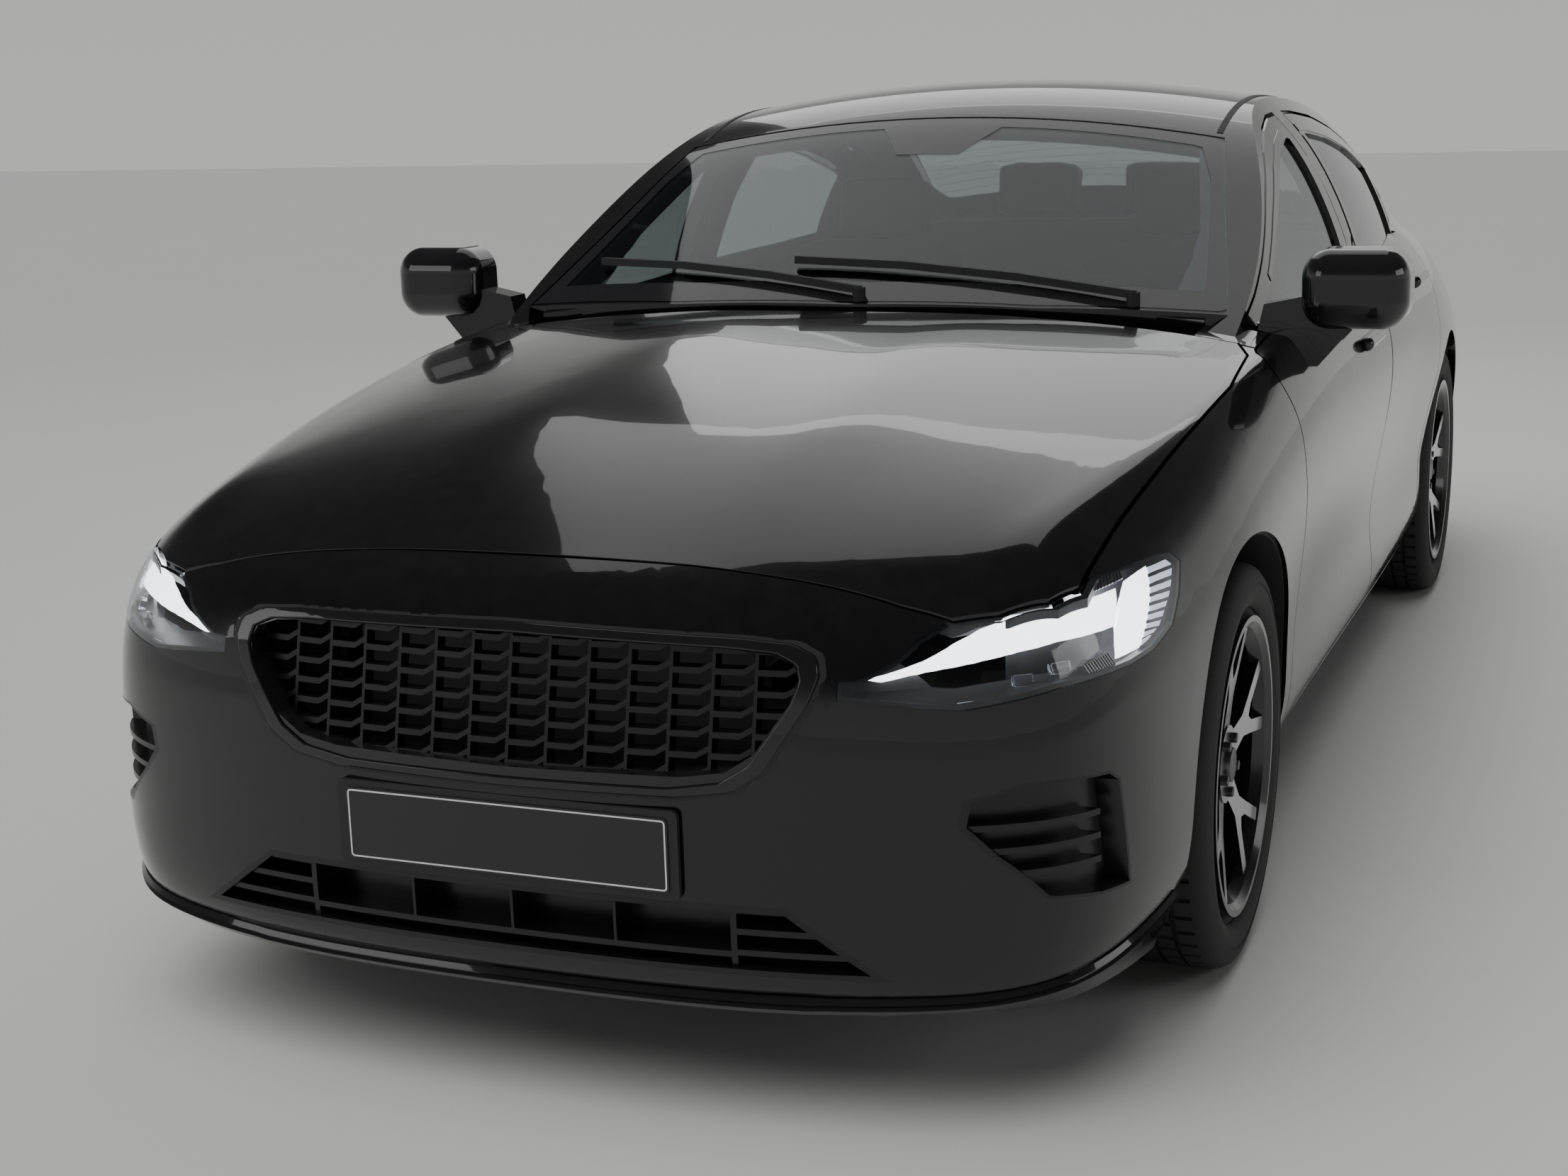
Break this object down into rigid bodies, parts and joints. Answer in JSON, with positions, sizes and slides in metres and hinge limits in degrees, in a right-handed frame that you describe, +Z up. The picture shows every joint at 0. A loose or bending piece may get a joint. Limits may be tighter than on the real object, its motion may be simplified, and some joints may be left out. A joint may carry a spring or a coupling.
{
  "type": "four-door sedan car",
  "caption": "Four-door saloon car with opening doors, bonnet and boot lid, steered front wheels and a hollow cabin.",
  "frame": {"origin": "on the ground, in the middle of the car's length and width", "axes": "+Y from nose to tail, +X to the car's left, +Z up"},
  "size_m": [2.12, 4.7542, 1.4315],
  "materials": {
    "body_paint": "gloss black lacquer",
    "gloss_black": "gloss moulded",
    "window_glass": "tinted",
    "clear_lens": "clear lens",
    "light_guide": "white light guide",
    "red_lens": "red lens",
    "tyre": "matt rubber",
    "wheel_alloy": "dark lacquer with turned faces",
    "dark_plastic": "grained",
    "seat_leather": "soft grain",
    "chassis_steel": "coated steel"
  },
  "bodies": {
    "root": {"body_side_left": "body_paint", "body_side_right": "body_paint", "boot_ledge": "body_paint", "corner_vents": "gloss_black", "cowl_panel": "window_glass", "dashboard": "dark_plastic", "daylight_strips": "light_guide", "engine_block": "chassis_steel", "exhaust": "chassis_steel", "floor_pan": "chassis_steel", "front_bumper": "body_paint", "front_fenders": "body_paint", "front_seats": "seat_leather", "front_structure": "chassis_steel", "front_suspension": "chassis_steel", "grille_mesh": "gloss_black", "headlamp_housings": "gloss_black", "headlamp_lenses": "clear_lens", "lower_grille": "gloss_black", "quarter_panes": "window_glass", "radiator_grille": "gloss_black", "rear_bumper": "body_paint", "rear_seat": "seat_leather", "rear_shelf": "dark_plastic", "rear_suspension": "chassis_steel", "rear_window": "window_glass", "roof_panel": "window_glass", "steering_wheel": "dark_plastic", "tail_lamps": "red_lens", "wheel_liners": "dark_plastic", "windscreen": "window_glass", "wipers": "dark_plastic"},
    "front_door_body_left": {"front_door_left": "body_paint", "front_door_pane_left": "window_glass", "mirror_left": "body_paint"},
    "rear_door_body_left": {"rear_door_left": "body_paint", "rear_door_pane_left": "window_glass"},
    "steer_left": {"front_knuckle_left": "chassis_steel"},
    "front_wheel_left": {"front_tyre_left": "tyre", "front_rim_left": "wheel_alloy"},
    "rear_wheel_left": {"rear_tyre_left": "tyre", "rear_rim_left": "wheel_alloy"},
    "front_door_body_right": {"front_door_right": "body_paint", "front_door_pane_right": "window_glass", "mirror_right": "body_paint"},
    "rear_door_body_right": {"rear_door_right": "body_paint", "rear_door_pane_right": "window_glass"},
    "steer_right": {"front_knuckle_right": "chassis_steel"},
    "front_wheel_right": {"front_tyre_right": "tyre", "front_rim_right": "wheel_alloy"},
    "rear_wheel_right": {"rear_tyre_right": "tyre", "rear_rim_right": "wheel_alloy"},
    "bonnet_body": {"bonnet": "body_paint"},
    "boot_lid_body": {"boot_lid": "body_paint"}
  },
  "joints": [
    {"name": "front_door_hinge_left", "type": "hinge", "parent": "root", "child": "front_door_body_left", "pos_m": [0.885, -0.9605, 0.6], "axis": [0, 0, -1], "range_deg": [0, 67]},
    {"name": "rear_door_hinge_left", "type": "hinge", "parent": "root", "child": "rear_door_body_left", "pos_m": [0.885, 0.2195, 0.6], "axis": [0, 0, -1], "range_deg": [0, 67]},
    {"name": "steer_left_pivot", "type": "hinge", "parent": "root", "child": "steer_left", "pos_m": [0.7189, -1.5085, 0.335], "axis": [0, 0, 1], "range_deg": [-33, 33]},
    {"name": "front_wheel_spin_left", "type": "hinge", "parent": "steer_left", "child": "front_wheel_left", "pos_m": [0.79, -1.5085, 0.335], "axis": [1, 0, 0], "continuous": true},
    {"name": "rear_wheel_spin_left", "type": "hinge", "parent": "root", "child": "rear_wheel_left", "pos_m": [0.79, 1.3635, 0.335], "axis": [1, 0, 0], "continuous": true},
    {"name": "front_door_hinge_right", "type": "hinge", "parent": "root", "child": "front_door_body_right", "pos_m": [-0.885, -0.9605, 0.6], "axis": [0, 0, 1], "range_deg": [0, 67]},
    {"name": "rear_door_hinge_right", "type": "hinge", "parent": "root", "child": "rear_door_body_right", "pos_m": [-0.885, 0.2195, 0.6], "axis": [0, 0, 1], "range_deg": [0, 67]},
    {"name": "steer_right_pivot", "type": "hinge", "parent": "root", "child": "steer_right", "pos_m": [-0.7189, -1.5085, 0.335], "axis": [0, 0, 1], "range_deg": [-33, 33]},
    {"name": "front_wheel_spin_right", "type": "hinge", "parent": "steer_right", "child": "front_wheel_right", "pos_m": [-0.79, -1.5085, 0.335], "axis": [1, 0, 0], "continuous": true},
    {"name": "rear_wheel_spin_right", "type": "hinge", "parent": "root", "child": "rear_wheel_right", "pos_m": [-0.79, 1.3635, 0.335], "axis": [1, 0, 0], "continuous": true},
    {"name": "bonnet_hinge", "type": "hinge", "parent": "root", "child": "bonnet_body", "pos_m": [0, -1.02838, 1.0045], "axis": [-1, 0, 0], "range_deg": [0, 50]},
    {"name": "boot_lid_hinge", "type": "hinge", "parent": "root", "child": "boot_lid_body", "pos_m": [0, 1.62826, 1.089], "axis": [1, 0, 0], "range_deg": [0, 75]}
  ],
  "couplings": [
    {"joint": "steer_right_pivot", "follows": "steer_left_pivot", "ratio": 1}
  ]
}
